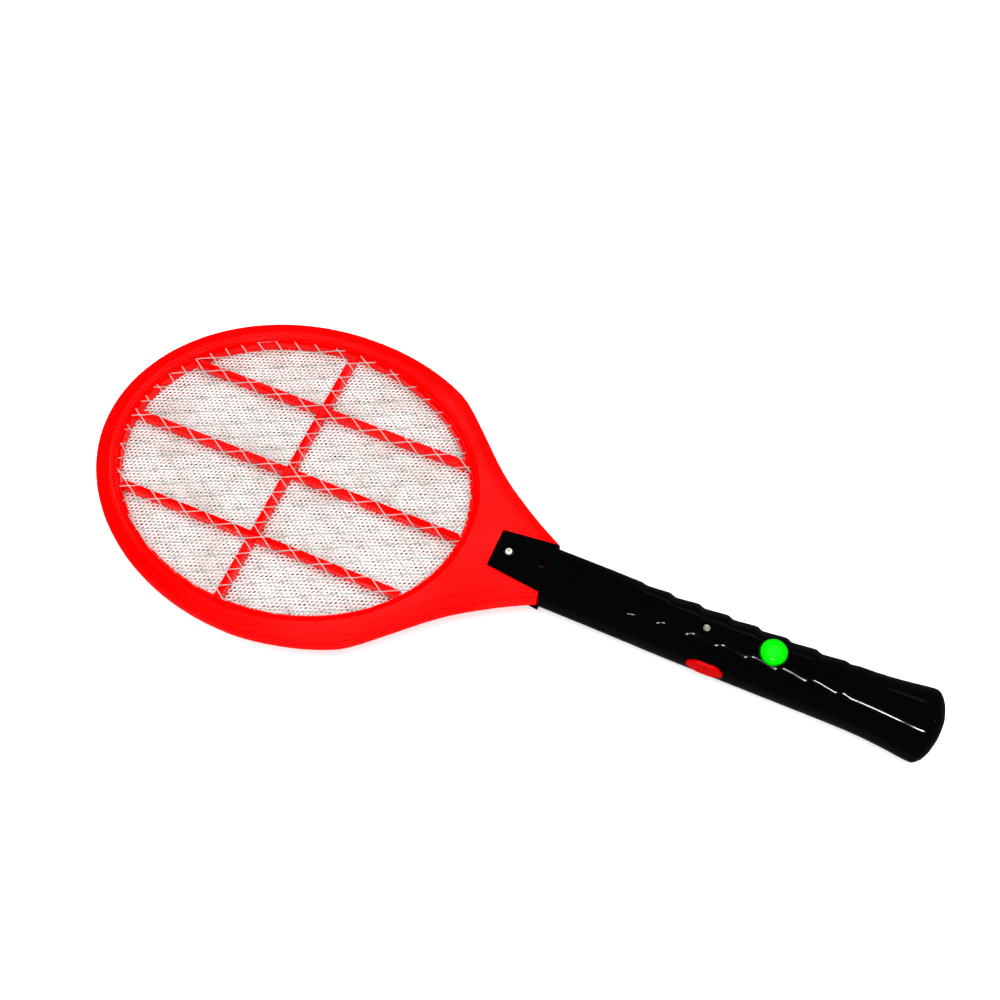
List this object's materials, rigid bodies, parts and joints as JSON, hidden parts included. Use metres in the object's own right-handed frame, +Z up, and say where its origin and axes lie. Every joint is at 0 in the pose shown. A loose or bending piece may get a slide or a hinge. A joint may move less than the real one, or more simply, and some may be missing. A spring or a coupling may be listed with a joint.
{
  "type": "electric fly swatter",
  "caption": "Racket-shaped electric fly swatter: oval rim with metal nets, two-shell grip with a push button, a side button and a sliding battery door.",
  "frame": {"origin": "centre of the bounding box's base, on the plane of the handle's flat back", "axes": "+X along the swatter from the head to the handle's end, +Z up out of the front face, so the side button is on -Y"},
  "size_m": [0.4495, 0.1792, 0.035],
  "materials": {
    "red_plastic": "moulded plastic, semi-gloss red",
    "net_aluminium": "thin bare net, slightly dull",
    "black_plastic": "moulded plastic, gloss black",
    "green_plastic": "moulded plastic, gloss green",
    "switch_body": "matt black",
    "switch_plunger": "matt cream",
    "screw_steel": "bright plated steel",
    "board_laminate": "brown paper laminate",
    "core_ferrite": "matt dark ferrite",
    "coil_tape": "yellow polyester tape over copper",
    "film_capacitor": "dipped red-brown coat",
    "ceramic_disc": "dipped blue coat",
    "black_epoxy": "moulded black epoxy",
    "cell_wrap": "plain dark wrap over a steel can",
    "contact_nickel": "nickel-plated spring steel",
    "red_insulation": "red wire insulation",
    "white_insulation": "white wire insulation",
    "black_insulation": "black wire insulation"
  },
  "bodies": {
    "casing": {"front_frame": "red_plastic", "back_frame": "red_plastic", "front_spacer_grid": "red_plastic", "back_spacer_grid": "red_plastic", "front_net": "net_aluminium", "centre_net": "net_aluminium", "back_net": "net_aluminium", "front_handle_shell": "black_plastic", "back_handle_shell": "black_plastic", "push_switch": "switch_body", "side_switch": "switch_body", "tongue_screw": "screw_steel", "throat_screw": "screw_steel", "grip_screw": "screw_steel", "circuit_board": "board_laminate", "transformer_core": "core_ferrite", "transformer_coil": "coil_tape", "storage_capacitor": "film_capacitor", "multiplier_capacitor_1": "ceramic_disc", "multiplier_capacitor_2": "ceramic_disc", "rectifier_diode_1": "black_epoxy", "rectifier_diode_2": "black_epoxy", "rectifier_diode_3": "black_epoxy", "drive_transistor": "black_epoxy", "battery_1": "cell_wrap", "battery_2": "cell_wrap", "battery_spring": "contact_nickel", "battery_contact": "contact_nickel", "front_net_lead": "red_insulation", "back_net_lead": "red_insulation", "centre_net_lead": "white_insulation", "battery_plus_lead": "red_insulation", "battery_minus_lead": "black_insulation"},
    "push_button": {"push_button": "green_plastic", "push_switch_plunger": "switch_plunger"},
    "side_button": {"side_button": "red_plastic", "side_switch_plunger": "switch_plunger"},
    "battery_door": {"battery_door": "black_plastic"}
  },
  "joints": [
    {"name": "push_button_travel", "type": "slide", "parent": "casing", "child": "push_button", "axis": [0, 0, -1], "range_m": [0, 0.0012], "stiffness_N_per_m": 1500},
    {"name": "side_button_travel", "type": "slide", "parent": "casing", "child": "side_button", "axis": [0, 1, 0], "range_m": [0, 0.0012], "stiffness_N_per_m": 1500},
    {"name": "battery_door_slide", "type": "slide", "parent": "casing", "child": "battery_door", "axis": [1, 0, 0], "range_m": [0, 0.03]}
  ]
}
